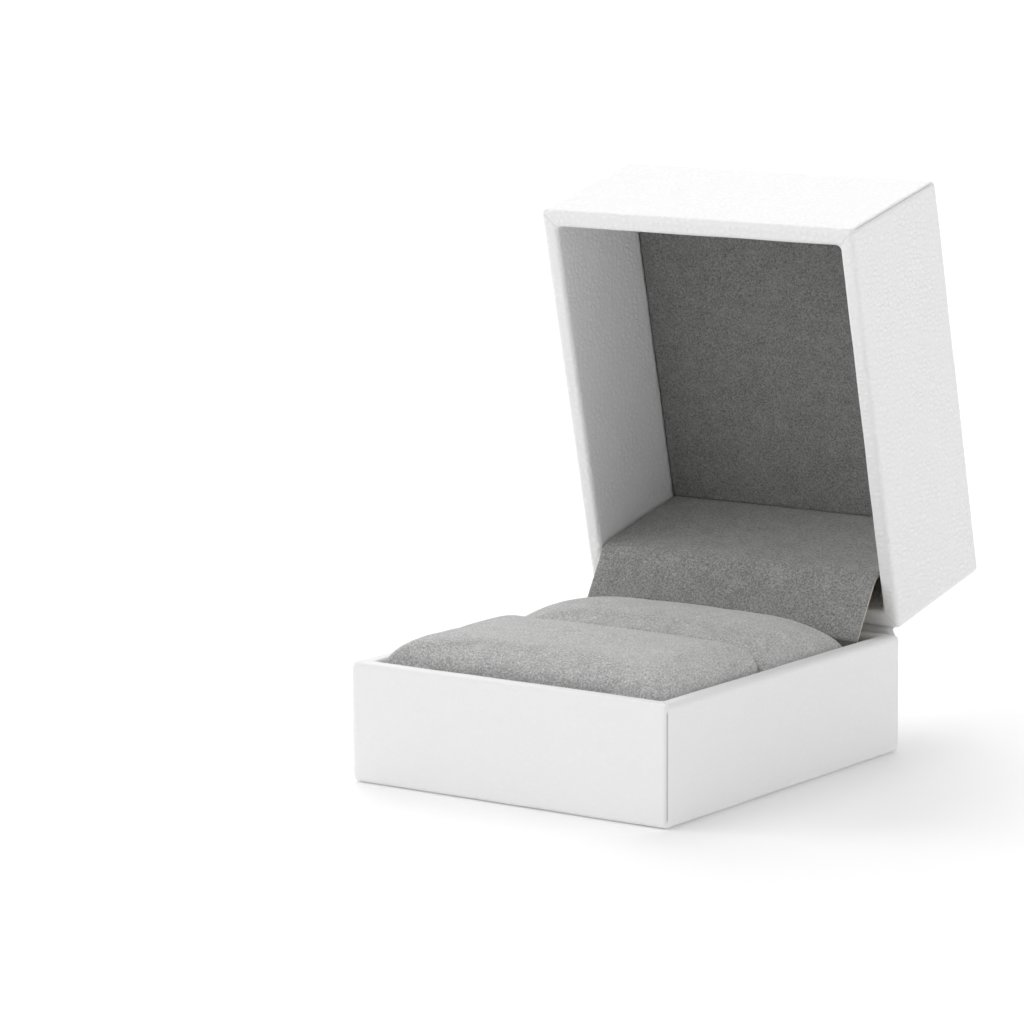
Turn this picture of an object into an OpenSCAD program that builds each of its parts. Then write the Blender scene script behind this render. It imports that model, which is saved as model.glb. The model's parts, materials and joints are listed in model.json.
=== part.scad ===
// Hinged jewellery gift box: greyboard base and lid wrapped in grained paper, a snap hinge behind
// a suede flap, and two suede covered foam pads with a ring slit between them.
// The box is drawn open. X runs along the hinge, -Y is the front, +Z is up, and the origin is at
// the middle of the underside of the base. Lid parts are drawn shut and swung open together.

/* [Box] */
// Outside width, along the hinge
box_w = 54; // [50:0.5:62]
// Outside depth, front to back
box_d = 61; // [57:0.5:70]
// Height of the base, underside to rim
base_h = 17.4; // [16.4:0.2:20]
// Height of the lid, rim to top
lid_h = 23.6; // [21:0.2:28]
// How far the lid is swung open
open_angle = 77; // [60:1:80]
// Gap that the paper leaves between the rims of the shut box
rim_gap = 0.5; // [0.4:0.1:0.8]
// Height of the hinge line above the rim of the base
hinge_rise = 0.88; // [0.8:0.02:1]
// Radius of the wrapped outside edges
edge_r = 0.8; // [0.5:0.1:1]

/* [Board and paper] */
// Thickness of the greyboard
board_t = 2; // [1.6:0.1:2.2]
// Thickness of the grained covering paper
wrap_t = 0.25; // [0.2:0.05:0.3]
// Thickness of the paper pasted under the base
sheet_t = 0.15; // [0.1:0.05:0.2]
// How far the bottom paper stays back from the outside
sheet_inset = 1.5; // [1:0.25:3]
// Thickness of the gummed tape on the corners of the board
stay_t = 0.15; // [0.1:0.05:0.2]
// Width of each leg of a corner tape
stay_w = 8; // [6:0.5:10]

/* [Lining and flap] */
// Thickness of the card under the lid lining
liner_card_t = 1; // [0.8:0.1:1.2]
// Thickness of the suede cloth
suede_t = 0.35; // [0.3:0.05:0.4]
// Gap between the lining and the walls
liner_gap = 0.3; // [0.2:0.1:0.5]
// Thickness of the card in the hinge flap
flap_card_t = 0.35; // [0.3:0.05:0.4]
// Length of the folding lower part of the flap
flap_drop = 10.6; // [9:0.2:11]
// Lean of the lower flap from upright, with the lid open
flap_lean = -28; // [-30:1:-26]
// Clear space between the flap and each side wall
flap_side_gap = 0.5; // [0.4:0.1:1]

/* [Pads] */
// Thickness of the card under the pads
insert_card_t = 0.8; // [0.6:0.1:1]
// Height of the crown of the front pad above the underside of the box
front_pad_top = 20.6; // [19:0.2:21.4]
// Height of the crown of the rear pad above the underside of the box
rear_pad_top = 21.8; // [19:0.2:22.4]
// Width of the ring slit
slit_w = 0.7; // [0.6:0.1:1.2]
// Where the slit lies, front to back
slit_y = -1.5; // [-4:0.5:2]
// How much lower the pads are at the front and back of each crown
pad_drop = 2.8; // [2:0.2:3.4]
// How much lower the pads are at the side walls
pad_side_drop = 2; // [1.5:0.25:3]

/* [Snap hinge] */
// Width of the hinge leaves
leaf_w = 27; // [24:1:32]
// Thickness of the hinge leaves
leaf_t = 0.5; // [0.4:0.05:0.6]
// Height of each leaf beyond its pin
leaf_h = 6.5; // [6:0.25:7]
// Radius of the hinge pins
pin_r = 0.5; // [0.45:0.05:0.5]
// Distance of each pin from the hinge line of the paper
pin_rise = 6; // [5.8:0.1:6.2]
// Length of each knuckle on the leaves
knuckle_l = 5; // [4:0.5:6]
// Width of the spring strip
spring_w = 15; // [12:1:16]
// Thickness of the spring strip
spring_t = 0.3; // [0.25:0.05:0.3]
// How far the spring bows forward of its pins
spring_bow = 3.75; // [3.7:0.05:3.8]
// Radius of the rivet shanks
rivet_r = 0.8; // [0.6:0.1:1]

/* [Hidden] */
$fn = 48;
eps = 0.01;
// How far a cut runs past the face that it opens
past = 1;

// Walls, and the planes between the layers of each half
wall_t = board_t + 2 * wrap_t;
cavity_w = box_w - 2 * wall_t;
cavity_d = box_d - 2 * wall_t;
inner_back_y = cavity_d / 2;
board_w = box_w - 2 * wrap_t;
board_d = box_d - 2 * wrap_t;
board_cavity_w = board_w - 2 * board_t;
board_cavity_d = board_d - 2 * board_t;
board_r = edge_r - wrap_t;
board_z = sheet_t + wrap_t;
floor_z = board_z + board_t;
rim_z = base_h + rim_gap;
top_z = rim_z + lid_h;
ceiling_z = top_z - wrap_t - board_t;
// Width of the wrap that turns in under the base
turn_under = 9;
// The corner tapes stop this far short of the edges of the board
tape_end_gap = 1;

// The paper hinge turns about a line just outside the back faces
hinge_out = 0.1;
hinge_y = box_d / 2 + hinge_out;
hinge_z = base_h + hinge_rise;

// Hinge flap: the fold lies just above the rims, in front of the snap hinge
flap_setback = 5.5;
fold_rise = 0.3;
flap_t = flap_card_t + suede_t;
flap_w = cavity_w - 2 * flap_side_gap;
flap_y = inner_back_y - flap_setback;
fold_z = rim_z + fold_rise;
// Half of the bare stretch at the fold, where neither layer is stiffened
fold_gap = 0.45;
fold_dy = flap_y - hinge_y;
fold_dz = fold_z - hinge_z;
fold_open_y = hinge_y + fold_dy * cos(open_angle) + fold_dz * sin(open_angle);
fold_open_z = hinge_z - fold_dy * sin(open_angle) + fold_dz * cos(open_angle);
// Depth of the tab that glues the flap to the inside of the lid
tab_d = 4;

// Pads: the foam has a little play in its cover, and the flap swings down behind the rear pad
foam_play = 0.25;
flap_swing_gap = 1.1;
insert_z = floor_z + insert_card_t;
insert_front_y = -inner_back_y + liner_gap;
insert_back_y = flap_y - flap_t / 2 - flap_swing_gap;
insert_w = cavity_w - 2 * liner_gap;

// Snap hinge: the spring turns half as far as the lid
knuckle_wall = 0.4;
eye_play = 0.04;
knuckle_r = pin_r + knuckle_wall;
pin_y = inner_back_y - knuckle_r;
base_pin_z = hinge_z - pin_rise;
lid_pin_z = hinge_z + pin_rise;
knuckle_x = leaf_w / 2 - knuckle_l / 2;
eye_r = pin_r + eye_play;
pin_radius_from_hinge = norm([hinge_y - pin_y, pin_rise]);
pin_half_angle = atan2(pin_rise, hinge_y - pin_y);
pin_span = 2 * pin_radius_from_hinge * sin(pin_half_angle + open_angle / 2);
pin_overhang = 0.3;
hook_play = 0.25;
spring_bend_r = 1.2;
// Larger than any eye or bend of the strip
strip_reach = 4;
leaf_window = 3.5;
rivet_x = 10.5;
rivet_drop = 4.4;
rivet_head_r = 1.5;
rivet_head_t = 0.5;

// Paper hinge: its bend runs this far along each back face, and a leg goes on from there
bend_tangent = 1.2;
bend_leg = 2;

// Colours
paper_white = "#f2f2f0";
suede_grey = "#8b8a88";
greyboard = "#a39c90";
kraft = "#b89468";
foam_white = "#e9e6dc";
steel = "#b7bac0";

// Swings what it holds from the shut position to the open one
module open_lid()
    translate([0, hinge_y, hinge_z])
        rotate([-open_angle, 0, 0])
            translate([0, -hinge_y, -hinge_z])
                children();

// Mirrors what it holds onto the other end of the box as well
module both_ends() {
    children();
    mirror([1, 0, 0]) children();
}

module rounded_rect(w, d, r) {
    square([w - 2 * r, d], center = true);
    square([w, d - 2 * r], center = true);
    for (x = [-1, 1], y = [-1, 1])
        translate([x * (w / 2 - r), y * (d / 2 - r)]) circle(r);
}

// Upright prism with round vertical edges, from height z0 to z1
module prism(w, d, z0, z1, r)
    translate([0, 0, z0])
        linear_extrude(z1 - z0) rounded_rect(w, d, r);

// Block with all its edges rounded, from height z0 to z1
module soft_block(w, d, z0, z1, r) {
    h = z1 - z0;
    intersection() {
        prism(w, d, z0, z1, r);
        translate([0, d / 2, z0 + h / 2])
            rotate([90, 0, 0]) linear_extrude(d) rounded_rect(w, h, r);
        translate([-w / 2, 0, z0 + h / 2])
            rotate([90, 0, 90]) linear_extrude(w) rounded_rect(d, h, r);
    }
}

// Box from corner to corner
module slab(low, high)
    translate(low) cube(high - low);

// Cylinder along X, centred on x = 0
module bar(y, z, r, l)
    translate([-l / 2, y, z]) rotate([0, 90, 0]) cylinder(r = r, h = l);

// Holes or shanks for the two rivets of a leaf, from y0 back to y1
module rivet_pair(z, r, y0, y1)
    both_ends()
        translate([rivet_x, y0, z]) rotate([-90, 0, 0]) cylinder(r = r, h = y1 - y0);

// L shaped tapes over the four upright corners of a board box
module corner_tapes(z0, z1)
    intersection() {
        difference() {
            prism(board_w, board_d, z0, z1, board_r);
            prism(board_w - 2 * stay_t, board_d - 2 * stay_t, z0 - past, z1 + past, board_r - stay_t);
        }
        for (x = [-1, 1], y = [-1, 1])
            translate([x * board_w / 2, y * board_d / 2, z0])
                translate([-stay_w, -stay_w, -past])
                    cube([2 * stay_w, 2 * stay_w, z1 - z0 + 2 * past]);
    }

// ---- Base ----

module base_tape_solids()
    corner_tapes(board_z + tape_end_gap, base_h - wrap_t - tape_end_gap);

module base_tray()
    difference() {
        prism(board_w, board_d, board_z, base_h - wrap_t, board_r);
        prism(board_cavity_w, board_cavity_d, floor_z, base_h, eps);
    }

module base_board()
    color(greyboard)
        difference() {
            base_tray();
            base_tape_solids();
            rivet_pair(base_pin_z - rivet_drop, rivet_r, inner_back_y - past, box_d);
        }

module base_corner_stays()
    color(kraft) base_tape_solids();

module base_wrap()
    color(paper_white)
        difference() {
            soft_block(box_w, box_d, sheet_t, base_h, edge_r);
            base_tray();
            prism(cavity_w, cavity_d, floor_z, base_h + past, eps);
            prism(box_w - 2 * turn_under, box_d - 2 * turn_under, 0, board_z + past, eps);
            rivet_pair(base_pin_z - rivet_drop, rivet_r, inner_back_y - past, box_d / 2 - wrap_t);
        }

module base_bottom_sheet()
    color(paper_white)
        prism(box_w - 2 * sheet_inset, box_d - 2 * sheet_inset, 0, sheet_t, edge_r);

// ---- Pads ----

module insert_card()
    color(greyboard)
        slab([-insert_w / 2, insert_front_y, floor_z], [insert_w / 2, insert_back_y, insert_z]);

// Crowned pad between y0 and y1, up to the height top, drawn in by t from the finished surface
module pad_form(y0, y1, top, t) {
    half_d = (y1 - y0) / 2;
    half_w = insert_w / 2;
    crown_r = (half_d * half_d + pad_drop * pad_drop) / (2 * pad_drop);
    side_r = (half_w * half_w + pad_side_drop * pad_side_drop) / (2 * pad_side_drop);
    intersection() {
        slab([-half_w + t, y0 + t, insert_z], [half_w - t, y1 - t, top]);
        bar((y0 + y1) / 2, top - crown_r, crown_r - t, 2 * half_w);
        translate([0, y1, top - side_r])
            rotate([90, 0, 0]) cylinder(r = side_r - t, h = y1 - y0, $fn = 96);
    }
}

module pad_cover(y0, y1, top)
    color(suede_grey)
        difference() {
            pad_form(y0, y1, top, 0);
            pad_form(y0, y1, top, suede_t);
        }

module foam_block(y0, y1, top)
    color(foam_white) pad_form(y0, y1, top, suede_t + foam_play);

module front_foam() foam_block(insert_front_y, slit_y - slit_w / 2, front_pad_top);
module rear_foam() foam_block(slit_y + slit_w / 2, insert_back_y, rear_pad_top);
module front_pad_cover() pad_cover(insert_front_y, slit_y - slit_w / 2, front_pad_top);
module rear_pad_cover() pad_cover(slit_y + slit_w / 2, insert_back_y, rear_pad_top);

// ---- Snap hinge ----

// Leaf on a back wall: a plate with a window for the spring, and two knuckles.
// dir is -1 where the plate lies below the pin and +1 where it lies above
module hinge_leaf(pin_z, dir) {
    far = pin_z + dir * leaf_h;
    difference() {
        union() {
            slab([-leaf_w / 2, inner_back_y - leaf_t, min(pin_z, far)],
                 [leaf_w / 2, inner_back_y, max(pin_z, far)]);
            both_ends() translate([knuckle_x, 0, 0]) bar(pin_y, pin_z, knuckle_r, knuckle_l);
        }
        translate([0, inner_back_y, pin_z])
            cube([leaf_w - 2 * knuckle_l, 2 * (knuckle_r + past), 2 * leaf_window], center = true);
        bar(pin_y, pin_z, pin_r, leaf_w + 2 * past);
        rivet_pair(pin_z + dir * rivet_drop, rivet_r, inner_back_y - leaf_t - past, inner_back_y + past);
    }
}

module hinge_pin(pin_z)
    bar(pin_y, pin_z, pin_r, leaf_w + 2 * pin_overhang);

module leaf_rivets(z) {
    rivet_pair(z, rivet_r, inner_back_y - leaf_t, box_d / 2 - wrap_t);
    rivet_pair(z, rivet_head_r, inner_back_y - leaf_t - rivet_head_t, inner_back_y - leaf_t);
}

module hinge_base_leaf() color(steel) hinge_leaf(base_pin_z, -1);
module hinge_base_pin() color(steel) hinge_pin(base_pin_z);
module hinge_base_rivets() color(steel) leaf_rivets(base_pin_z - rivet_drop);
module hinge_lid_leaf() color(steel) open_lid() hinge_leaf(lid_pin_z, 1);
module hinge_lid_pin() color(steel) open_lid() hinge_pin(lid_pin_z);
module hinge_lid_rivets() color(steel) open_lid() leaf_rivets(lid_pin_z + rivet_drop);

// Extrudes a side view, drawn in Y and Z about the point (y, z), over the width l along X
module side_view(y, z, l)
    translate([-l / 2, y, z]) rotate([90, 0, 90]) linear_extrude(l) children();

// Quarter ring of the strip, about (y, z), in the quadrant that dy and dz point to
module strip_bend(y, z, dy, dz)
    translate([y, z])
        intersection() {
            difference() {
                circle(spring_bend_r);
                circle(spring_bend_r - spring_t);
            }
            polygon([[0, 0], [dy, 0], [dy, dz], [0, dz]] * strip_reach);
        }

// Eye or hook of the strip about a pin at height z; the hook is open towards the other pin
module strip_eye(z, hook)
    translate([0, z])
        difference() {
            circle(eye_r + spring_t);
            circle(eye_r);
            if (hook) translate([-strip_reach / 2, -strip_reach]) square(strip_reach);
        }

// Side view of the bowed strip, upright as in the shut box, with the base pin at (0, 0)
module spring_profile() {
    hook_z = pin_span + hook_play;
    eye_outer_r = eye_r + spring_t;
    strip_eye(0, false);
    strip_eye(hook_z, true);
    for (end = [[-1, -eye_outer_r], [1, hook_z + eye_outer_r]]) {
        dir = end[0];
        edge = end[1];
        translate([-spring_bow + spring_bend_r, min(edge, edge - dir * spring_t)])
            square([spring_bow - spring_bend_r, spring_t]);
        strip_bend(-spring_bow + spring_bend_r, edge - dir * spring_bend_r, -1, dir);
    }
    translate([-spring_bow, -eye_outer_r + spring_bend_r])
        square([spring_t, hook_z + 2 * (eye_outer_r - spring_bend_r)]);
}

module hinge_spring()
    color(steel)
        translate([0, pin_y, base_pin_z])
            rotate([-open_angle / 2, 0, 0])
                side_view(0, 0, spring_w) spring_profile();

// Free strip of covering paper over the hinge line: a bend between a short leg on each back face
module hinge_paper() {
    bend_r = bend_tangent / tan(open_angle / 2);
    faces_meet_z = hinge_z + hinge_out * tan(open_angle / 2);
    far = 3 * bend_r;
    color(paper_white)
        side_view(box_d / 2 + bend_r, faces_meet_z - bend_tangent, box_w - 2 * edge_r) {
            intersection() {
                difference() {
                    circle(bend_r);
                    circle(bend_r - wrap_t);
                }
                polygon([
                    [0, 0], [-far, 0], [-far, far],
                    [-far * cos(open_angle), far * sin(open_angle)]
                ]);
            }
            translate([-bend_r, -bend_leg]) square([wrap_t, bend_leg + eps]);
            rotate(-open_angle) translate([-bend_r, -eps]) square([wrap_t, bend_leg]);
        }
}

// ---- Lid, drawn shut ----

module lid_tape_solids()
    corner_tapes(rim_z + wrap_t + tape_end_gap, top_z - wrap_t - tape_end_gap);

module lid_tray()
    difference() {
        prism(board_w, board_d, rim_z + wrap_t, top_z - wrap_t, board_r);
        prism(board_cavity_w, board_cavity_d, rim_z, ceiling_z, eps);
    }

module lid_board()
    color(greyboard)
        open_lid()
            difference() {
                lid_tray();
                lid_tape_solids();
                rivet_pair(lid_pin_z + rivet_drop, rivet_r, inner_back_y - past, box_d);
            }

module lid_corner_stays()
    color(kraft) open_lid() lid_tape_solids();

module lid_wrap()
    color(paper_white)
        open_lid()
            difference() {
                soft_block(box_w, box_d, rim_z, top_z, edge_r);
                lid_tray();
                prism(cavity_w, cavity_d, rim_z - past, ceiling_z, eps);
                rivet_pair(lid_pin_z + rivet_drop, rivet_r, inner_back_y - past, box_d / 2 - wrap_t);
            }

module liner_card_block()
    slab([-cavity_w / 2 + liner_gap + suede_t, -inner_back_y + liner_gap + suede_t,
          ceiling_z - liner_card_t],
         [cavity_w / 2 - liner_gap - suede_t, flap_y - flap_t / 2 - suede_t, ceiling_z]);

module lid_liner_card()
    color(greyboard) open_lid() liner_card_block();

module lid_liner_cloth()
    color(suede_grey)
        open_lid()
            difference() {
                slab([-cavity_w / 2 + liner_gap, -inner_back_y + liner_gap,
                      ceiling_z - liner_card_t - suede_t],
                     [cavity_w / 2 - liner_gap, flap_y - flap_t / 2, ceiling_z]);
                liner_card_block();
            }

// ---- Hinge flap ----

module flap_card_upper()
    color(greyboard)
        open_lid() {
            slab([-flap_w / 2, flap_y + flap_t / 2 - flap_card_t, fold_z + fold_gap],
                 [flap_w / 2, flap_y + flap_t / 2, ceiling_z]);
            slab([-flap_w / 2, flap_y + flap_t / 2 - eps, ceiling_z - flap_card_t],
                 [flap_w / 2, flap_y + flap_t / 2 + tab_d, ceiling_z]);
        }

module flap_cloth_upper()
    color(suede_grey)
        open_lid()
            slab([-flap_w / 2, flap_y - flap_t / 2, fold_z + fold_gap],
                 [flap_w / 2, flap_y - flap_t / 2 + suede_t, ceiling_z]);

// Layer of the folding part, between y0 and y1 of the flap's thickness
module lower_flap_layer(y0, y1)
    translate([0, fold_open_y, fold_open_z])
        rotate([flap_lean, 0, 0])
            slab([-flap_w / 2, y0, -flap_drop], [flap_w / 2, y1, -fold_gap]);

module flap_card_lower()
    color(greyboard) lower_flap_layer(flap_t / 2 - flap_card_t, flap_t / 2);

module flap_cloth_lower()
    color(suede_grey) lower_flap_layer(-flap_t / 2, flap_t / 2 - flap_card_t);

base_board();
base_corner_stays();
base_wrap();
base_bottom_sheet();
insert_card();
front_foam();
rear_foam();
front_pad_cover();
rear_pad_cover();
hinge_base_leaf();
hinge_base_pin();
hinge_base_rivets();
hinge_spring();
hinge_paper();
lid_board();
lid_corner_stays();
lid_wrap();
lid_liner_card();
lid_liner_cloth();
hinge_lid_leaf();
hinge_lid_pin();
hinge_lid_rivets();
flap_card_upper();
flap_cloth_upper();
flap_card_lower();
flap_cloth_lower();
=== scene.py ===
import json
import math

import bpy
import numpy as np
from mathutils import Matrix, Vector


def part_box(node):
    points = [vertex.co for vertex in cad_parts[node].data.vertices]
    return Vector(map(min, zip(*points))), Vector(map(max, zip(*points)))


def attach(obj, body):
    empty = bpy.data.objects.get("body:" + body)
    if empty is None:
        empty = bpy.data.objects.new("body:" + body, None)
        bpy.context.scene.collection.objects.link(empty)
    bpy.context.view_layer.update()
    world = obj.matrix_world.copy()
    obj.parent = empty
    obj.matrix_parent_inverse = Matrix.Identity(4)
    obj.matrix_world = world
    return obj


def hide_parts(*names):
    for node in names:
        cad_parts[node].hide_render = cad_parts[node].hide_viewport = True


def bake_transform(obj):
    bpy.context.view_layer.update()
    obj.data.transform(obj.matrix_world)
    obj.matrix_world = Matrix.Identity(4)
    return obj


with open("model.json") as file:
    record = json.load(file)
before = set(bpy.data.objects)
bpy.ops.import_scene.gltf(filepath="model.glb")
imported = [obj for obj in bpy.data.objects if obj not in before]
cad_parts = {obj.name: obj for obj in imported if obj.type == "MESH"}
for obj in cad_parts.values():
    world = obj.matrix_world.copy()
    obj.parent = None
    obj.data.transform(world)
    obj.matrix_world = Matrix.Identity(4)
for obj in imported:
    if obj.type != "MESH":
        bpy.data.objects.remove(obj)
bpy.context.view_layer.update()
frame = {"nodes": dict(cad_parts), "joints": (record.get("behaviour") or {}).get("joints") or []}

# ---- Camera ----
# The open box is seen from its front right and a little above the pads, through a long lens that keeps
# its upright edges nearly parallel. All of it stays in focus.
mm = 0.001
azimuth, elevation, roll = np.radians([35.66, 9.38, -0.3])
aim = np.array([-8.4, -17.0, 38.8]) * mm
camera_distance = 650 * mm
towards_camera = np.array([
    math.sin(azimuth) * math.cos(elevation), -math.cos(azimuth) * math.cos(elevation), math.sin(elevation),
])
level = np.array([math.cos(azimuth), math.sin(azimuth), 0])
upright = np.cross(towards_camera, level)
camera_right = math.cos(roll) * level + math.sin(roll) * upright
camera_up = math.cos(roll) * upright - math.sin(roll) * level
camera = bpy.data.objects.new("camera", bpy.data.cameras.new("camera"))
camera.data.lens = 162
camera.data.sensor_width = 36
bpy.context.scene.collection.objects.link(camera)
stand = aim + camera_distance * towards_camera
place = np.eye(4)
place[:3] = np.column_stack([camera_right, camera_up, towards_camera, stand])
camera.matrix_world = Matrix(place.tolist())
bpy.context.scene.camera = camera

# ---- Grained covering paper of the base ----
# One sheet of white art paper, embossed with a fine pebble grain and given a satin varnish, is glued over
# the greyboard tray: round the outside, over the rim and down the inside walls, with the last 9 mm turned
# in under the bottom. It is cut and butted at the four upright corners, and mitred on the rim.
base_low, base_high = (np.array(corner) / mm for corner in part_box("base_wrap"))
box_w, box_d = (base_high - base_low)[:2]
wrap_t = 0.25
wall_t = 2.5
edge_r = 0.8
rim_outer_r = 0.8
rim_inner_r = 0.6
inner_corner_r = 0.9
turn_under = 9
# How far the glued paper swells and waves, and how wide and deep its seams are, in mm. A seam's shade and
# a piece's depth of grain are shares of the full one.
paper_swell = 0.035
rim_waviness = 0.015
seam_half_width = 0.07
seam_depth = 0.08
mitre_depth = 0.05
mitre_shade = 0.4
base_grain = 0.35


def curve(centre, radius, start, stop, steps):
    """Arc of a side profile: points (inset, height) at the radius from the centre, from angle start to stop
    in degrees."""
    angle = np.radians(np.linspace(start, stop, steps + 1))
    return np.column_stack([centre[0] + radius * np.cos(angle), centre[1] + radius * np.sin(angle)])


def straight(start, stop, steps):
    """Straight stretch of a side profile, without its two ends."""
    return np.linspace(start, stop, steps + 1)[1:-1]


def around(width, depth, radius):
    """Rounded rectangles, one for each row of the three arrays, anticlockwise from above: each side is
    straight, with points that crowd towards its ends, and each corner is a quarter circle. Returns the
    points, their outward directions, and how far each lies from the middle of a corner."""
    near_end = np.array([0, 0.07, 0.14, 0.21, 0.28, 0.35, 0.42, 0.55, 0.8, 1.4, 2.5, 4])
    far_away = 1000
    middle = np.linspace(0, 1, 14)[1:-1]
    turn = np.radians(np.linspace(0, 90, 15))[1:-1]
    points, outward, from_mitre = [], [], []
    for quarter in range(4):
        out = np.array([math.cos(quarter * math.pi / 2), math.sin(quarter * math.pi / 2)])
        along = np.array([-out[1], out[0]])
        reach, half = (width / 2, depth / 2) if quarter % 2 == 0 else (depth / 2, width / 2)
        length = (2 * (half - radius))[:, None]
        centre_out, centre_along = (reach - radius)[:, None], (half - radius)[:, None]
        distance = np.hstack([
            near_end + 0 * length,
            near_end[-1] + middle * (length - 2 * near_end[-1]),
            length - near_end[::-1],
        ])
        points.append(out * reach[:, None, None] + along * (distance - centre_along)[..., None])
        outward.append(np.broadcast_to(out, points[-1].shape))
        from_mitre.append(distance * 0 + far_away)
        spoke = np.cos(turn)[:, None] * out + np.sin(turn)[:, None] * along
        points.append(
            (out * centre_out + along * centre_along)[:, None, :] + radius[:, None, None] * spoke
        )
        outward.append(np.broadcast_to(spoke, points[-1].shape))
        from_mitre.append(radius[:, None] * abs(turn - math.pi / 4))
    return [np.concatenate(part, axis=1) for part in (points, outward, from_mitre)]


def ripple(points, wavelength, seed):
    """Gentle unevenness between about -2 and 2: a quarter of the sum of eight sine waves that cross space
    in directions drawn once, with lengths of about the wavelength."""
    draw = np.random.default_rng(seed)
    way = draw.normal(size=(8, 3))
    length = wavelength * draw.uniform(0.7, 1.6, (8, 1))
    way *= 2 * math.pi / (length * np.linalg.norm(way, axis=1, keepdims=True))
    return np.sin(points @ way.T + draw.uniform(0, 2 * math.pi, 8)).sum(axis=-1) / 4


def smooth_step(value, start, stop):
    """0 before start, 1 after stop, and a smooth rise between them."""
    t = np.clip((value - start) / (stop - start), 0, 1)
    return t * t * (3 - 2 * t)


def paper_over_tray(height, wall_end, panel, seed):
    """Paper over a tray that stands on its panel, as rings of points in mm, and how deep a seam each point
    lies in. The side profile (inset, height) runs along the panel, round the outside edge, up the wall,
    over the rim and down the inside to wall_end, and comes back one thickness of paper nearer to the
    board; each of its points is carried round the tray. panel lists (inset, share of the full size) from
    the middle of the panel outwards. The paper swells outwards a little, and grooves as fine as a cut run
    up the middle of each corner and over the mitres of the rim."""
    wall_top = height - rim_outer_r
    rim_centre = (wall_t - rim_inner_r, height - rim_inner_r)
    outer = np.vstack([
        curve((edge_r, edge_r), edge_r, 270, 180, 9),
        straight((0, edge_r), (0, wall_top), 26),
        curve((rim_outer_r, wall_top), rim_outer_r, 180, 90, 9),
        straight((rim_outer_r, height), (rim_centre[0], height), 5),
        curve(rim_centre, rim_inner_r, 90, 0, 7),
        straight((wall_t, rim_centre[1]), (wall_t, wall_end), 16),
        [(wall_t, wall_end)],
    ])
    back = np.vstack([
        [(wall_t - wrap_t, wall_end)],
        curve(rim_centre, rim_inner_r - wrap_t, 0, 90, 4),
        curve((rim_outer_r, wall_top), rim_outer_r - wrap_t, 90, 180, 5),
        straight((wrap_t, wall_top), (wrap_t, edge_r), 8),
        curve((edge_r, edge_r), edge_r - wrap_t, 180, 270, 5),
    ])
    panel = np.array(panel)
    inset = np.concatenate([panel[:, 0], outer[:, 0], back[:, 0], panel[::-1, 0]])
    rise = np.concatenate([0 * panel[:, 0], outer[:, 1], back[:, 1], 0 * panel[:, 0] + wrap_t])
    share = np.concatenate([panel[:, 1], np.ones(len(outer) + len(back)), panel[::-1, 1]])
    radius = np.hypot(np.maximum(edge_r - inset, 0.1), inner_corner_r * np.minimum(inset / wall_t, 1))
    flat, outward, from_mitre = around(box_w - 2 * inset, box_d - 2 * inset, radius)
    flat = flat * share[:, None, None]
    rings = np.concatenate([flat, np.broadcast_to(rise[:, None, None], flat.shape[:2] + (1,))], axis=2)
    reach = inset + (1 - share) * box_w / 2
    tangent = np.column_stack([np.gradient(reach), np.gradient(rise)])
    tangent /= np.maximum(np.linalg.norm(tangent, axis=1, keepdims=True), 1e-9)
    normal = np.concatenate([
        outward * tangent[:, 1, None, None],
        np.broadcast_to(tangent[:, 0, None, None], flat.shape[:2] + (1,)),
    ], axis=2)
    outer_rows = (np.arange(len(inset)) < len(panel) + len(outer))[:, None]
    above_edge = smooth_step(rise, edge_r, edge_r + 0.5)
    on_wall = above_edge * (1 - smooth_step(rise, wall_top - 0.5, wall_top)) * (inset < edge_r)
    on_rim = smooth_step(rise, wall_top + 0.3, height) * (inset > 0.3)
    corner_middle = np.exp(-(from_mitre / seam_half_width) ** 2)
    cut, mitre = corner_middle * on_wall[:, None], corner_middle * on_rim[:, None]
    push = paper_swell * (1 + ripple(rings, 13, seed))
    push = push + rim_waviness * ripple(rings, 4.5, seed + 1) * (rise > wall_top)[:, None]
    push = (np.maximum(push, 0) - seam_depth * cut - mitre_depth * mitre) * outer_rows
    return rings + normal * push[..., None], (cut + mitre_shade * mitre) * outer_rows


def skin(name, rings, ends):
    """Closed mesh through rings of points in metres. ends is "loop" where the last ring meets the first,
    and "poles" where the first and last rings are each closed by a fan about their mean. Faces are turned
    outwards by the sign of the volume they hold."""
    count, size = rings.shape[:2]
    number = np.arange(count * size).reshape(count, size)
    upper, lower = (number, np.roll(number, -1, axis=0)) if ends == "loop" else (number[:-1], number[1:])
    corners = [upper, np.roll(upper, -1, axis=1), np.roll(lower, -1, axis=1), lower]
    quads = np.stack(corners, axis=-1).reshape(-1, 4)
    points = rings.reshape(-1, 3)
    fans = np.zeros((0, 3), int)
    if ends == "poles":
        points = np.vstack([points, rings[0].mean(axis=0), rings[-1].mean(axis=0)])
        first, last = number[0], number[-1]
        fans = np.vstack([
            np.column_stack([np.roll(first, -1), first, np.full(size, count * size)]),
            np.column_stack([last, np.roll(last, -1), np.full(size, count * size + 1)]),
        ])
    triangles = np.vstack([quads[:, [0, 1, 2]], quads[:, [0, 2, 3]], fans])
    a, b, c = (points[triangles[:, i]] for i in range(3))
    if (a * np.cross(b, c)).sum() < 0:
        quads, fans = quads[:, ::-1], fans[:, ::-1]
    mesh = bpy.data.meshes.new(name)
    mesh.from_pydata(points.tolist(), [], quads.tolist() + fans.tolist())
    mesh.shade_smooth()
    piece = bpy.data.objects.new(name, mesh)
    bpy.context.scene.collection.objects.link(piece)
    return piece


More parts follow.
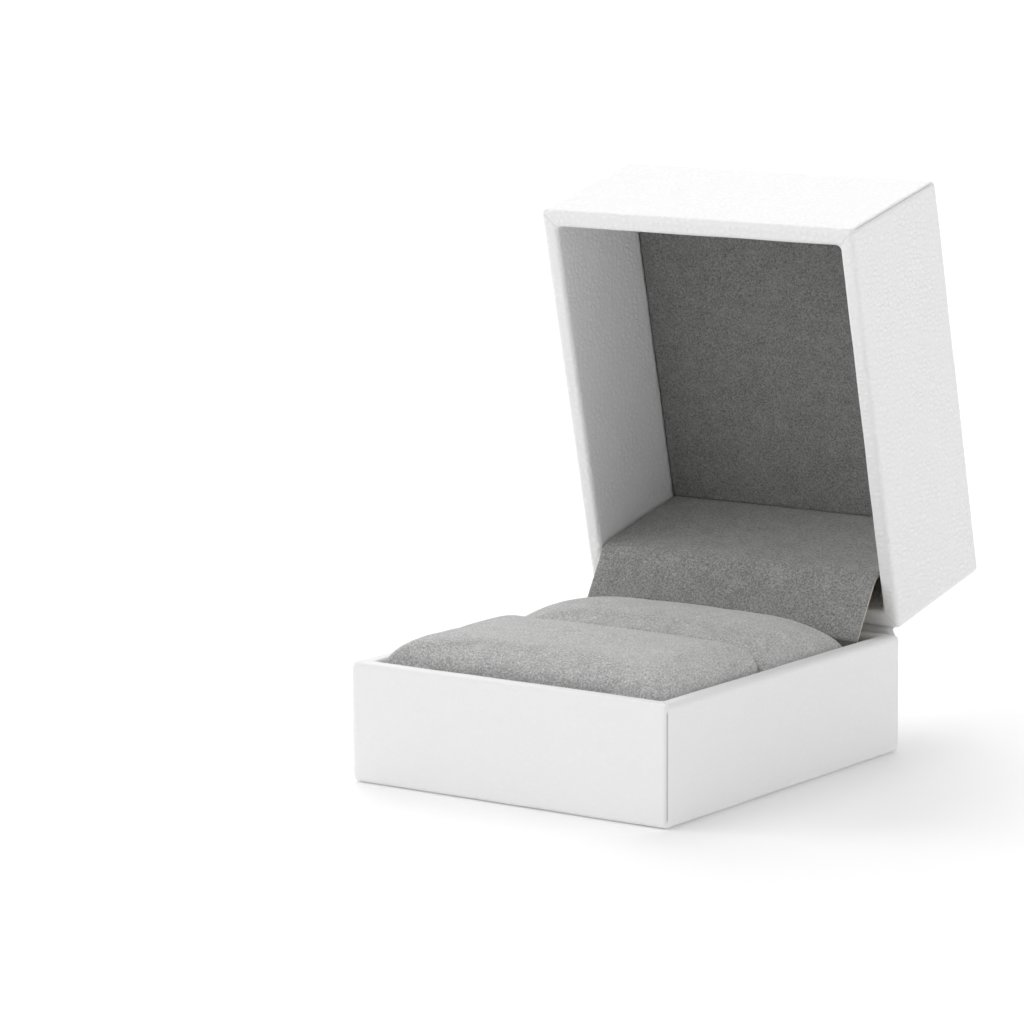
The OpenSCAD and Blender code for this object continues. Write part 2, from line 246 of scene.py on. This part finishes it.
def mark(piece, name, values):
    """Stores one number for each point of a piece, in order, for its material to read."""
    stored = np.zeros(len(piece.data.vertices), np.float32)
    stored[:values.size] = values.ravel()
    piece.data.attributes.new(name, "FLOAT", "POINT").data.foreach_set("value", stored)


def from_hex(text):
    """An sRGB hex colour as linear RGBA."""
    parts = np.array([int(text[i:i + 2], 16) / 255 for i in (1, 3, 5)])
    linear = np.where(parts <= 0.04045, parts / 12.92, ((parts + 0.055) / 1.055) ** 2.4)
    return (*linear, 1)


def new_finish(name, hex_colour, **sockets):
    """A material with its Principled shader's own sockets set; underscores in a name stand for spaces."""
    finish = bpy.data.materials.new(name)
    finish.use_nodes = True
    shader = finish.node_tree.nodes["Principled BSDF"]
    shader.inputs["Base Color"].default_value = from_hex(hex_colour)
    for socket, value in sockets.items():
        shader.inputs[socket.replace("_", " ")].default_value = value
    return finish, shader


def add(finish, kind, inputs=(), **settings):
    """Adds one node. settings are its own properties, and inputs are pairs of a socket and its value or the
    output that feeds it."""
    node = finish.node_tree.nodes.new("ShaderNode" + kind)
    for name, value in settings.items():
        setattr(node, name, value)
    for socket, value in inputs:
        if isinstance(value, bpy.types.NodeSocket):
            finish.node_tree.links.new(value, node.inputs[socket])
        else:
            node.inputs[socket].default_value = value
    return node


# Embossed art paper: low domed pebbles about 1.1 mm long and 0.9 mm high, pressed more deeply in some
# patches than others. The varnish leaves their tops slightly glossy, and the valleys hold a trace of
# shade. The attribute pressed says how deep the grain is on a piece, and seam marks the cut edges, which
# show as a fine grey line.
grained_paper, paper_shader = new_finish("embossed_art_paper", "#f0f0f0", Roughness=0.46, IOR=1.5)
where = add(grained_paper, "TexCoord")
drift = add(grained_paper, "TexNoise", [
    ("Vector", where.outputs["Object"]), ("Scale", 420), ("Detail", 2),
])
bent = add(grained_paper, "VectorMath", [
    (0, drift.outputs["Color"]), (1, (0.5 * mm, 0.5 * mm, 0.5 * mm)), (2, where.outputs["Object"]),
], operation="MULTIPLY_ADD")
lay = add(grained_paper, "Mapping", [("Vector", bent.outputs[0]), ("Scale", (1.0, 1.0, 1.3))])
pebbles = add(grained_paper, "TexVoronoi", [
    ("Vector", lay.outputs[0]), ("Scale", 900), ("Randomness", 0.8),
], feature="DISTANCE_TO_EDGE")
dome = add(grained_paper, "MapRange", [("Value", pebbles.outputs["Distance"]), ("From Max", 0.4)],
           interpolation_type="SMOOTHSTEP")
patches = add(grained_paper, "TexNoise", [
    ("Vector", where.outputs["Object"]), ("Scale", 130), ("Detail", 1),
])
pressed = add(grained_paper, "Attribute", attribute_name="pressed")
strength = add(grained_paper, "MapRange", [
    ("Value", patches.outputs["Fac"]), ("From Min", 0.35), ("From Max", 0.65), ("To Min", 0.6),
])
depth = add(grained_paper, "Math", [(0, strength.outputs[0]), (1, pressed.outputs["Fac"])],
            operation="MULTIPLY")
grain = add(grained_paper, "Math", [(0, dome.outputs[0]), (1, depth.outputs[0])], operation="MULTIPLY")
fibre = add(grained_paper, "TexNoise", [
    ("Vector", where.outputs["Object"]), ("Scale", 5200), ("Detail", 3),
])
relief = add(grained_paper, "Math", [(0, fibre.outputs["Fac"]), (1, 0.12), (2, grain.outputs[0])],
             operation="MULTIPLY_ADD")
bump = add(grained_paper, "Bump", [
    ("Height", relief.outputs[0]), ("Strength", 0.8), ("Distance", 0.09 * mm),
])
seam = add(grained_paper, "Attribute", attribute_name="seam")
tone = add(grained_paper, "Mix", [("Factor", grain.outputs[0]), ("A", from_hex("#ededed")),
                                  ("B", from_hex("#f1f1f1"))], data_type="RGBA")
line_tone = add(grained_paper, "Mix", [("Factor", seam.outputs["Fac"]), ("A", tone.outputs["Result"]),
                                       ("B", from_hex("#a2a2a1"))], data_type="RGBA")
grained_paper.node_tree.links.new(line_tone.outputs["Result"], paper_shader.inputs["Base Color"])
gloss = add(grained_paper, "MapRange", [("Value", grain.outputs[0]), ("To Min", 0.56), ("To Max", 0.42)])
grained_paper.node_tree.links.new(gloss.outputs[0], paper_shader.inputs["Roughness"])
grained_paper.node_tree.links.new(bump.outputs[0], paper_shader.inputs["Normal"])

sheet_z = base_low[2]
base_h = base_high[2]
board_floor_z = 2.4
under_panel = [(inset, 1) for inset in np.linspace(turn_under, edge_r, 9)[:-1]]
base_rings, base_cuts = paper_over_tray(base_h - sheet_z, board_floor_z - sheet_z, under_panel, seed=3)
base_paper = skin("base_covering_paper", (base_rings + [0, 0, sheet_z]) * mm, "loop")
mark(base_paper, "seam", base_cuts)
mark(base_paper, "pressed", 0 * base_cuts + base_grain)
base_paper.data.materials.append(grained_paper)
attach(base_paper, "base")
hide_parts("base_wrap")

# ---- Bottom paper ----
# A plain white paper is pasted under the base and hides the turned in edges of the wrap. It is smooth, with
# only the faint cloud of the pulp.
bottom_paper, shader = new_finish("smooth_bottom_paper", "#efefec", Roughness=0.7)
where = add(bottom_paper, "TexCoord")
cloud = add(bottom_paper, "TexNoise", [("Vector", where.outputs["Object"]), ("Scale", 900), ("Detail", 4)])
tone = add(bottom_paper, "Mix", [
    ("Factor", cloud.outputs["Fac"]), ("A", from_hex("#f3f3f1")), ("B", from_hex("#e9e8e4")),
], data_type="RGBA")
bump = add(bottom_paper, "Bump", [
    ("Height", cloud.outputs["Fac"]), ("Strength", 0.3), ("Distance", 0.03 * mm),
])
bottom_paper.node_tree.links.new(tone.outputs["Result"], shader.inputs["Base Color"])
bottom_paper.node_tree.links.new(bump.outputs[0], shader.inputs["Normal"])


def dress(finish, *nodes):
    """Gives CAD nodes their finish."""
    for node in nodes:
        frame["nodes"][node].data.materials.clear()
        frame["nodes"][node].data.materials.append(finish)


dress(bottom_paper, "base_bottom_sheet")

# ---- Greyboard trays and their corner stays ----
# Each half is a tray of 2 mm greyboard, a board pressed from waste paper whose cut edges and faces show
# darker and lighter flecks. Its corners are held by gummed kraft tape, creased over each upright edge.
def flecked(name, light, dark, speck_mm, roughness):
    """A paper or board finish: two tones mixed by flecks of about that size, with a matching tooth."""
    finish, shader = new_finish(name, light, Roughness=roughness)
    where = add(finish, "TexCoord")
    flecks = add(finish, "TexNoise", [
        ("Vector", where.outputs["Object"]), ("Scale", 1 / (speck_mm * mm)),
        ("Detail", 4), ("Roughness", 0.65),
    ])
    spread = add(finish, "MapRange", [
        ("Value", flecks.outputs["Fac"]), ("From Min", 0.35), ("From Max", 0.7),
    ])
    tone = add(finish, "Mix", [
        ("Factor", spread.outputs[0]), ("A", from_hex(light)), ("B", from_hex(dark)),
    ], data_type="RGBA")
    bump = add(finish, "Bump", [
        ("Height", flecks.outputs["Fac"]), ("Strength", 0.4), ("Distance", 0.04 * mm),
    ])
    finish.node_tree.links.new(tone.outputs["Result"], shader.inputs["Base Color"])
    finish.node_tree.links.new(bump.outputs[0], shader.inputs["Normal"])
    return finish


greyboard = flecked("recycled_greyboard", "#a8a196", "#857d70", 0.5, 0.9)
kraft_tape = flecked("gummed_kraft_tape", "#c19a6b", "#a67f51", 0.8, 0.65)
lining_card = flecked("lining_card", "#dcd2bf", "#c4b79f", 0.4, 0.85)
dress(greyboard, "base_board", "lid_board")
dress(kraft_tape, "base_corner_stays", "lid_corner_stays")
dress(lining_card, "insert_card", "lid_liner_card")

# ---- Pads of the base ----
# Two blocks of soft polyurethane foam, each wrapped in grey microfibre suede that is glued under the insert
# card. The cloth pulls the edges of the foam round, and the front pad ends in a crisp edge at the slit that
# holds the ring, with the fuller rear pad behind it.
front_low, front_high = (np.array(corner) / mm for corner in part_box("front_pad_cover"))
rear_low, rear_high = (np.array(corner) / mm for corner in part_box("rear_pad_cover"))


def edge_drop(distance, roll):
    """How far a rounded edge lies below the top, at that distance in from the side: a quarter of an ellipse
    with the roll's (reach, depth)."""
    reach, depth = roll
    return depth * (1 - np.sqrt(np.maximum(1 - (1 - np.clip(distance, 0, reach) / reach) ** 2, 0)))


def pad_block(name, low, high, crown, rolls, inset):
    """Closed block with a crowned top, drawn in by inset: the top is crown(x, y) less the largest drop of
    its rolled edges, taken softly as the fourth root of the sum of their fourth powers. Rings of a rounded
    rectangle carry it out from the middle, down the sides and in under the foot. rolls are the
    (reach, depth) at the left and right, the front and the back."""
    side_roll, front_roll, back_roll = rolls
    width, depth = high[0] - low[0] - 2 * inset, high[1] - low[1] - 2 * inset
    plan_r = 0.7
    shoulder_z = 17
    crowd = np.cos(np.linspace(0, math.pi / 2, 12)[1:])
    top_share = np.concatenate([np.linspace(0.04, 0.8, 14), 1 - 0.2 * crowd])
    side_share = np.ones(12)
    foot_share = np.linspace(1, 0.1, 10)[1:]
    share = np.concatenate([top_share, side_share, foot_share])
    flat = around(*(np.full(len(share), size) for size in (width, depth, plan_r)))[0]
    x = flat[..., 0] * share[:, None]
    y = flat[..., 1] * share[:, None] + (low[1] + high[1]) / 2
    top = crown(x, y) - inset
    drops = [edge_drop(width / 2 - abs(x), side_roll), edge_drop(y - low[1] - inset, front_roll),
             edge_drop(high[1] - inset - y, back_roll)]
    top = top - sum(drop ** 4 for drop in drops) ** 0.25
    foot = low[2] + inset
    edge = np.minimum(top[len(top_share) - 1], shoulder_z)
    fall = np.linspace(0, 1, len(side_share) + 1)[1:, None]
    z = np.vstack([
        np.maximum(top[:len(top_share)], edge), edge * (1 - fall) + foot * fall,
        np.full((len(foot_share), x.shape[1]), foot),
    ])
    return skin(name, np.stack([x, y, z], axis=2) * mm, "poles")


def point_values(mesh, field):
    """A field of three numbers, such as co or normal, for each point of a mesh."""
    values = np.empty(len(mesh.vertices) * 3, np.float32)
    mesh.vertices.foreach_get(field, values)
    return values.reshape(-1, 3).astype(float)


def swelled(piece, cap, voxel, low, high):
    """The piece remeshed to an even spacing, voxel apart, and blown up as cloth, ten times its size so that
    the solver works at the size of a cushion. Each point moves cap at most and stays between the corners
    low and high. How far the cloth faces the front is stored for the painted shade on the pads' fronts."""
    enlarge = 10
    cloth_steps = 20
    scene = bpy.context.scene
    piece.data.transform(Matrix.Scale(enlarge, 4))
    remesh = piece.modifiers.new("even_mesh", "REMESH")
    remesh.mode, remesh.voxel_size = "VOXEL", voxel * mm * enlarge
    graph = bpy.context.evaluated_depsgraph_get()
    even = bpy.data.meshes.new_from_object(piece.evaluated_get(graph))
    piece.modifiers.clear()
    piece.data = even
    start = point_values(even, "co")
    cloth = piece.modifiers.new("swelling", "CLOTH")
    cloth.settings.use_pressure = True
    cloth.settings.uniform_pressure_force = 4
    cloth.settings.effector_weights.gravity = 0
    for step in range(1, cloth_steps + 1):
        scene.frame_set(step)
    moved = point_values(piece.evaluated_get(bpy.context.evaluated_depsgraph_get()).to_mesh(), "co")
    piece.modifiers.clear()
    scene.frame_set(1)
    step = moved - start
    length = np.maximum(np.linalg.norm(step, axis=1, keepdims=True), 1e-9)
    final = (start + step * np.minimum(1, cap * mm * enlarge / length)) / enlarge
    final = np.clip(final, np.array(low) * mm, np.array(high) * mm)
    even.vertices.foreach_set("co", final.astype(np.float32).ravel())
    even.shade_smooth()
    even.update()
    mark(piece, "front_painted_shade", np.clip(-point_values(even, "normal")[:, 1], 0, 1))
    smooth = piece.modifiers.new("smooth", "SUBSURF")
    smooth.levels = smooth.render_levels = 1
    return piece


def suede(name, hex_colour, dark, nap_mm):
    """Microfibre suede: short fibres brushed up from a knitted back. The nap is speckled where fibres part,
    about nap_mm apart, and faintly clouded where a finger has stroked it. Where a pad's cloth turns down to
    the front it is painted darker: painted shade there, where its fibres are also seen from their ends. Its
    edges catch light as sheen."""
    finish, shader = new_finish(name, hex_colour, Roughness=0.95, Sheen_Weight=0.3, Sheen_Roughness=0.5,
                                Specular_IOR_Level=0.1)
    where = add(finish, "TexCoord")
    fibres = add(finish, "TexNoise", [
        ("Vector", where.outputs["Object"]), ("Scale", 1 / (nap_mm * mm)),
        ("Detail", 3), ("Roughness", 0.6),
    ])
    clouds = add(finish, "TexNoise", [("Vector", where.outputs["Object"]), ("Scale", 420), ("Detail", 3)])
    speck = add(finish, "MapRange", [
        ("Value", fibres.outputs["Fac"]), ("From Min", 0.31), ("From Max", 0.69),
    ])
    stroked = add(finish, "MapRange", [
        ("Value", clouds.outputs["Fac"]), ("From Min", 0.3), ("From Max", 0.7),
        ("To Min", 0.09), ("To Max", -0.09),
    ])
    mixed = add(finish, "Math", [(0, speck.outputs[0]), (1, stroked.outputs[0])], operation="ADD")
    # Painted shade: cloth that faces the front is darkened towards the dark tone, by up to 0.3.
    front_painted_shade = add(finish, "Attribute", attribute_name="front_painted_shade")
    mixed = add(finish, "Math", [(0, front_painted_shade.outputs["Fac"]), (1, -0.3), (2, mixed.outputs[0])],
                operation="MULTIPLY_ADD", use_clamp=True)
    tone = add(finish, "Mix", [
        ("Factor", mixed.outputs[0]), ("A", from_hex(dark)), ("B", from_hex(hex_colour)),
    ], data_type="RGBA")
    bump = add(finish, "Bump", [
        ("Height", fibres.outputs["Fac"]), ("Strength", 0.9), ("Distance", 0.12 * mm),
    ])
    finish.node_tree.links.new(tone.outputs["Result"], shader.inputs["Base Color"])
    finish.node_tree.links.new(bump.outputs[0], shader.inputs["Normal"])
    return finish


def front_crown(x, y):
    """Height of the front pad: nearly flat, and a little higher in the middle of the box."""
    return 21.45 - 0.0007 * x ** 2 - 0.0006 * (y + 10) ** 2


def rear_crown(x, y):
    """Height of the rear pad: a dome along the box, highest behind its middle."""
    return 21.95 - 0.0018 * x ** 2 - 0.013 * (y - 10) ** 2


# Open celled foam: pores about 0.4 mm wide, cream white, with painted shade darkening each pore towards its
# middle.
foam, shader = new_finish("cut_foam", "#e9e6dc", Roughness=0.95)
where = add(foam, "TexCoord")
pores = add(foam, "TexVoronoi", [("Vector", where.outputs["Object"]), ("Scale", 2500)])
tone = add(foam, "Mix", [
    ("Factor", pores.outputs["Distance"]), ("A", from_hex("#c9c4b4")), ("B", from_hex("#f0ede4")),
], data_type="RGBA")
bump = add(foam, "Bump", [("Height", pores.outputs["Distance"]), ("Strength", 0.8), ("Distance", 0.2 * mm)])
foam.node_tree.links.new(tone.outputs["Result"], shader.inputs["Base Color"])
foam.node_tree.links.new(bump.outputs[0], shader.inputs["Normal"])

pad_suede = suede("brushed_pad_suede", "#dadad9", "#969696", 0.27)
swell = 0.3
slit_closed = 0.3
towards_flap = 0.7
cloth_spacing = 0.6
foam_inset = 0.6
well_above = 30
# Each pad: the corners of its place, its crown, and the rolls of its edges.
pads = [
    ("front", front_low, front_high + [0, slit_closed, 0], front_crown,
     ((7, 3.6), (8, 3.6), (0.3, 0.3))),
    ("rear", rear_low - [0, slit_closed, 0], rear_high + [0, towards_flap, 0], rear_crown,
     ((11, 3.7), (2.6, 2.2), (3, 2.6))),
]
for side, low, high, crown, rolls in pads:
    start = pad_block(side + "_pad_suede", low, high, crown, rolls, swell)
    pad = swelled(start, swell, cloth_spacing, low, [high[0], high[1], well_above])
    pad.data.materials.clear()
    pad.data.materials.append(pad_suede)
    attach(pad, "base")
    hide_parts(side + "_pad_cover")
    block = pad_block(side + "_foam_block", low, high, crown, rolls, swell + foam_inset)
    block.data.materials.append(foam)
    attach(block, "base")
    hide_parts(side + "_foam")

# ---- Grained covering paper of the lid ----
# The lid is a deeper tray wrapped like the base, with its top panel whole. It is shaped shut and upside
# down, standing on its top, then turned over and swung open about the hinge line.
joints = {joint["name"]: joint for joint in frame["joints"]}
hinge = np.array(joints["lid_hinge"]["pos_m"]) / mm
open_angle = math.radians(-joints["lid_hinge"]["range_deg"][0])
swing = np.array([
    [1, 0, 0],
    [0, math.cos(open_angle), math.sin(open_angle)],
    [0, -math.sin(open_angle), math.cos(open_angle)],
])


def swung_open(points):
    """Points of the shut lid, in mm, turned back about the hinge line by the open angle."""
    return (points - hinge) @ swing.T + hinge


def shut_box(node):
    """Lowest and highest corner of a lid node as it lies in the shut box, in mm."""
    corners = np.array([v.co for v in frame["nodes"][node].data.vertices]) / mm
    corners = (corners - hinge) @ swing + hinge
    return corners.min(axis=0), corners.max(axis=0)


lid_low, lid_high = shut_box("lid_wrap")
lid_h = lid_high[2] - lid_low[2]
lining_floor = 2.25
lid_seam_shade = 0.6
lid_grain = 1
whole_panel = [(edge_r, share) for share in (0.03, 0.15, 0.3, 0.45, 0.6, 0.75, 0.86, 0.93, 0.97, 0.99)]
lid_rings, lid_cuts = paper_over_tray(lid_h, lining_floor, whole_panel, seed=8)
lid_rings = lid_rings * [1, 1, -1] + [0, 0, lid_high[2]]
lid_paper = skin("lid_covering_paper", swung_open(lid_rings) * mm, "poles")
mark(lid_paper, "seam", lid_seam_shade * lid_cuts)
mark(lid_paper, "pressed", 0 * lid_cuts + lid_grain)
lid_paper.data.materials.append(grained_paper)
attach(lid_paper, "lid")
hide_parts("lid_wrap")

# ---- Paper hinge ----
# The covering paper runs on from the back of the base to the back of the lid as a free strip, which hides
# the snap hinge and bends when the lid turns. Its ends are trimmed back in a shallow notch.
bend_tangent = 1.2
bend_r = bend_tangent / math.tan(open_angle / 2)
strip_leg = 2.2
back_y = box_d / 2
crease_z = hinge[2] + (hinge[1] - back_y) * math.tan(open_angle / 2)
bend_centre = np.array([back_y + bend_r, crease_z - bend_tangent])
turn = np.linspace(math.pi, math.pi - open_angle, 25)
leg = np.linspace(strip_leg, 0, 9)[:-1, None]
bend_points = bend_centre + bend_r * np.column_stack([np.cos(turn), np.sin(turn)])
lid_way = np.array([math.sin(open_angle), math.cos(open_angle)])
strip_line = np.vstack([bend_points[0] - leg * [0, 1], bend_points, bend_points[-1] + leg[::-1] * lid_way])
way = np.gradient(strip_line, axis=0)
way /= np.linalg.norm(way, axis=1, keepdims=True)
outside = np.column_stack([way[:, 1], -way[:, 0]])
run = np.concatenate([[0], np.cumsum(np.linalg.norm(np.diff(strip_line, axis=0), axis=1))])
middle = run[-1] / 2
feather_t = 0.03
notch_depth = 0.7
notch_half = 0.8
strip_t = feather_t + (wrap_t - feather_t) * smooth_step(middle - abs(run - middle), 0, strip_leg)
notch = notch_depth * np.exp(-((run - middle) / notch_half) ** 2)
strip_half = box_w / 2 - edge_r + 0.1 - notch
across = np.linspace(-1, 1, 41)
inner = np.stack([
    strip_half[:, None] * across,
    np.broadcast_to(strip_line[:, 0, None], (len(run), len(across))),
    np.broadcast_to(strip_line[:, 1, None], (len(run), len(across))),
], axis=2)
raise_by = strip_t[:, None] * (1 - 0.6 * abs(across) ** 30)
outer = inner + np.stack([0 * raise_by, outside[:, :1] * raise_by, outside[:, 1:] * raise_by], axis=2)
strip = skin("paper_hinge_strip", np.concatenate([inner, outer[:, ::-1]], axis=1) * mm, "poles")
strip.data.materials.append(grained_paper)
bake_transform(strip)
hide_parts("hinge_paper")

# ---- Lining of the lid ----
# A card covered in the grey suede of the pads fills the inside of the top; its suede is painted darker, as
# painted shade inside the lid. Its cloth is pulled round the four edges, which leaves them softly rolled
# with a thin dark gap to the walls.
liner_low, liner_high = shut_box("lid_liner_cloth")
liner_size = liner_high - liner_low
cloth_t = 0.35
roll_r = 0.5
liner_crown = 0.12
liner_wave = 0.03
liner_corner_r = 0.6
liner_depth = liner_size[2]
liner_shares = np.array([0.03, 0.15, 0.3, 0.45, 0.6, 0.72, 0.82, 0.9, 0.95, 0.98])
flat_rows = len(liner_shares)
face = np.vstack([
    np.column_stack([np.full(flat_rows, roll_r), np.zeros(flat_rows)]),
    curve((roll_r, roll_r), roll_r, 270, 180, 6),
    [(0, liner_depth)], [(cloth_t, liner_depth)],
    curve((roll_r, roll_r), roll_r - cloth_t, 180, 270, 3),
    np.column_stack([np.full(flat_rows, roll_r), np.full(flat_rows, cloth_t)]),
])
shares = np.concatenate([liner_shares, np.ones(len(face) - 2 * flat_rows), liner_shares[::-1]])
liner_w, liner_d = (liner_size[i] - 2 * face[:, 0] for i in range(2))
plan = around(liner_w, liner_d, np.full(len(face), liner_corner_r))[0]
plan = plan * shares[:, None, None]
crown = liner_crown * (1 - (2 * plan[..., 0] / liner_size[0]) ** 2)
crown = crown * (1 - (2 * plan[..., 1] / liner_size[1]) ** 2)
liner = np.concatenate([plan, (face[:, 1, None] - crown)[..., None]], axis=2)
liner[..., 2] += liner_wave * ripple(liner, 9, 21)
liner = liner + [0, (liner_low[1] + liner_high[1]) / 2, liner_low[2]]
# The lining is the pads' grey suede given darker tones, as painted shade inside the lid.
liner_suede_painted_shade = suede("brushed_liner_suede", "#939392", "#5c5c5b", 0.27)
lining = skin("lid_lining_suede", swung_open(liner) * mm, "poles")
lining.data.materials.append(liner_suede_painted_shade)
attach(lining, "lid")
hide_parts("lid_liner_cloth")

# ---- Hinge flap ----
# A sheet of suede on a thin card hangs from the back of the lid lining and tucks down behind the rear pad,
# so that it hides the snap hinge. The card is creased, and the cloth rounds over the crease in one fold.
upper_low, upper_high = shut_box("flap_cloth_upper")
fold = np.array(joints["flap_fold"]["pos_m"])[1:] / mm
flap_half = upper_high[0]
card_t = 0.35
top_corner = swung_open(np.array([0, (upper_low[1] + upper_high[1] + card_t) / 2, upper_high[2]]))[1:]
fold_turn = math.radians(joints["flap_fold"]["range_deg"][1])
fold_r = 4.2
upper_way = (fold - top_corner) / np.linalg.norm(fold - top_corner)
lower_way = np.array([
    upper_way[0] * math.cos(fold_turn) - upper_way[1] * math.sin(fold_turn),
    upper_way[0] * math.sin(fold_turn) + upper_way[1] * math.cos(fold_turn),
])
fold_tangent = fold_r * math.tan(fold_turn / 2)
flap_drop = 10.6
flap_wave = 0.1
fold_start = fold - upper_way * fold_tangent
fold_end = fold + lower_way * fold_tangent
bend = np.linspace(0, fold_turn, 17)[:, None]
side_way = np.array([-upper_way[1], upper_way[0]])
fold_line = fold_start + fold_r * (np.sin(bend) * upper_way + (1 - np.cos(bend)) * side_way)
flap_line = np.vstack([
    np.linspace(top_corner, fold_start, 30)[:-1], fold_line,
    np.linspace(fold_end, fold + lower_way * flap_drop, 14)[1:],
])
flap_way = np.gradient(flap_line, axis=0)
flap_way /= np.linalg.norm(flap_way, axis=1, keepdims=True)
flap_front = np.column_stack([flap_way[:, 1], -flap_way[:, 0]])


def flap_layer(name, near, far, corner_r, half):
    """One layer of the flap: its cross-section, a flat strip from near to far across the thickness with
    corners of that radius, is carried down the flap's line. The whole flap waves a little below the top
    corner, where it is glued."""
    turn = np.radians(np.linspace(0, 90, 4))
    x, n = [], []
    for quarter in range(4):
        sx, sn = ((1, 1), (-1, 1), (-1, -1), (1, -1))[quarter]
        order = turn if quarter % 2 == 0 else turn[::-1]
        x.append(sx * (half - corner_r + corner_r * np.cos(order)))
        n.append((near + far) / 2 + sn * ((far - near) / 2 - corner_r + corner_r * np.sin(order)))
        if quarter in (0, 2):
            span = np.linspace(sx * (half - corner_r), -sx * (half - corner_r), 42)[1:-1]
            x.append(span)
            n.append(np.full(len(span), (near + far) / 2 + sn * (far - near) / 2))
    x, n = np.concatenate(x), np.concatenate(n)
    rings = np.empty((len(flap_line), len(x), 3))
    rings[..., 0] = x
    along_y, along_z = flap_line[:, :1], flap_line[:, 1:]
    spot = np.stack([x + 0 * along_y, along_y + 0 * x, along_z + 0 * x], axis=2)
    let_go = smooth_step(np.arange(len(flap_line)), 4, 20)[:, None]
    lift = n + flap_wave * ripple(spot, 17, 33) * let_go
    rings[..., 1] = along_y + flap_front[:, :1] * lift
    rings[..., 2] = along_z + flap_front[:, 1:] * lift
    layer = skin(name, rings * mm, "poles")
    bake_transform(layer)
    return layer


flap_suede = flap_layer("flap_suede", 0, cloth_t, 0.12, flap_half)
# The flap's suede is the pads' grey cloth given darker tones, as painted shade under the open lid.
flap_suede.data.materials.append(suede("brushed_flap_suede_painted_shade", "#adadac", "#6c6c6b", 0.27))
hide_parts("flap_cloth_upper", "flap_cloth_lower")
card_trim = 0.15
flap_card = flap_layer("flap_card", -card_t, 0, 0.03, flap_half - card_trim)
flap_card.data.materials.append(lining_card)
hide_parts("flap_card_upper", "flap_card_lower")

# ---- Snap hinge ----
# Two leaves of stamped sheet steel are riveted to the back walls, and a bowed strip of spring steel between
# their pins snaps the lid open or shut. The sheet is rolled and nickel plated, and shows fine drawn lines.
def rolled_steel(name, hex_colour, roughness):
    """Plated sheet steel, with fine lines left by rolling that run along the hinge."""
    line_length, line_gap = 5 * mm, 0.2 * mm
    finish, shader = new_finish(name, hex_colour, Metallic=1, Roughness=roughness, Anisotropic=0.4)
    where = add(finish, "TexCoord")
    stretch = add(finish, "Mapping", [
        ("Vector", where.outputs["Object"]), ("Scale", (1 / line_length, 1 / line_gap, 1 / line_gap)),
    ])
    lines = add(finish, "TexNoise", [("Vector", stretch.outputs[0]), ("Scale", 1), ("Detail", 3)])
    dull = add(finish, "MapRange", [("Value", lines.outputs["Fac"]), ("To Min", roughness - 0.08),
                                    ("To Max", roughness + 0.12)])
    bump = add(finish, "Bump", [
        ("Height", lines.outputs["Fac"]), ("Strength", 0.25), ("Distance", 0.02 * mm),
    ])
    finish.node_tree.links.new(dull.outputs[0], shader.inputs["Roughness"])
    finish.node_tree.links.new(bump.outputs[0], shader.inputs["Normal"])
    return finish


plated_steel = rolled_steel("nickel_plated_steel", "#c3c5c9", 0.34)
spring_steel = rolled_steel("blued_spring_steel", "#8f9296", 0.28)
dress(plated_steel, "hinge_base_leaf", "hinge_lid_leaf", "hinge_base_pin", "hinge_lid_pin",
      "hinge_base_rivets", "hinge_lid_rivets")
dress(spring_steel, "hinge_spring")

# ---- Floor and light ----
# The box stands on a plain white table in a white studio. The room lights it evenly, and six broad soft
# lamps stand round it: overhead, behind its left side, at the right, low at the right, at the left and in
# front. They leave only faint, wide shadows.
floor_half = 3.0
floor_corners = [(floor_half * x, floor_half * y, 0) for x, y in ((-1, -1), (1, -1), (1, 1), (-1, 1))]
floor_mesh = bpy.data.meshes.new("floor")
floor_mesh.from_pydata(floor_corners, [], [(0, 1, 2, 3)])
floor = bpy.data.objects.new("floor", floor_mesh)
bpy.context.scene.collection.objects.link(floor)
white_table, shader = new_finish("white_table", "#fafafa", Roughness=0.8, Specular_IOR_Level=0.2,
                                 Emission_Color=(1, 1, 1, 1), Emission_Strength=0.09)
where = add(white_table, "TexCoord")
cloud = add(white_table, "TexNoise", [("Vector", where.outputs["Object"]), ("Scale", 30), ("Detail", 2)])
tone = add(white_table, "Mix", [
    ("Factor", cloud.outputs["Fac"]), ("A", from_hex("#fbfbfb")), ("B", from_hex("#f8f8f8")),
], data_type="RGBA")
white_table.node_tree.links.new(tone.outputs["Result"], shader.inputs["Base Color"])
floor_mesh.materials.append(white_table)

room = bpy.data.worlds.new("white_room")
room.use_nodes = True
room.node_tree.nodes["Background"].inputs["Color"].default_value = (1, 1, 1, 1)
room.node_tree.nodes["Background"].inputs["Strength"].default_value = 0.3
bpy.context.scene.world = room
bpy.context.scene.view_settings.view_transform = "Standard"

# Each lamp: where its light comes from, how brightly it lights a face turned to it, and how many degrees
# wide it looks.
for name, comes_from, brightness, width in [
    ("top_lamp", (-0.25, -0.05, 1), 0.63, 50),
    ("back_lamp", (-0.6, 0.8, 0.9), 1.3, 50),
    ("right_lamp", (1, -0.15, 0.35), 0.27, 60),
    ("low_right_lamp", (1, 0.3, 0.15), 0.9, 60),
    ("left_lamp", (-0.9, -0.45, 0.35), 0.84, 30),
    ("front_lamp", (-0.45, -1, 0.6), 0.58, 50),
]:
    lamp_data = bpy.data.lights.new(name, "SUN")
    lamp_data.energy = brightness
    lamp_data.angle = math.radians(width)
    lamp = bpy.data.objects.new(name, lamp_data)
    bpy.context.scene.collection.objects.link(lamp)
    lamp.rotation_euler = Vector(comes_from).to_track_quat("Z", "Y").to_euler()
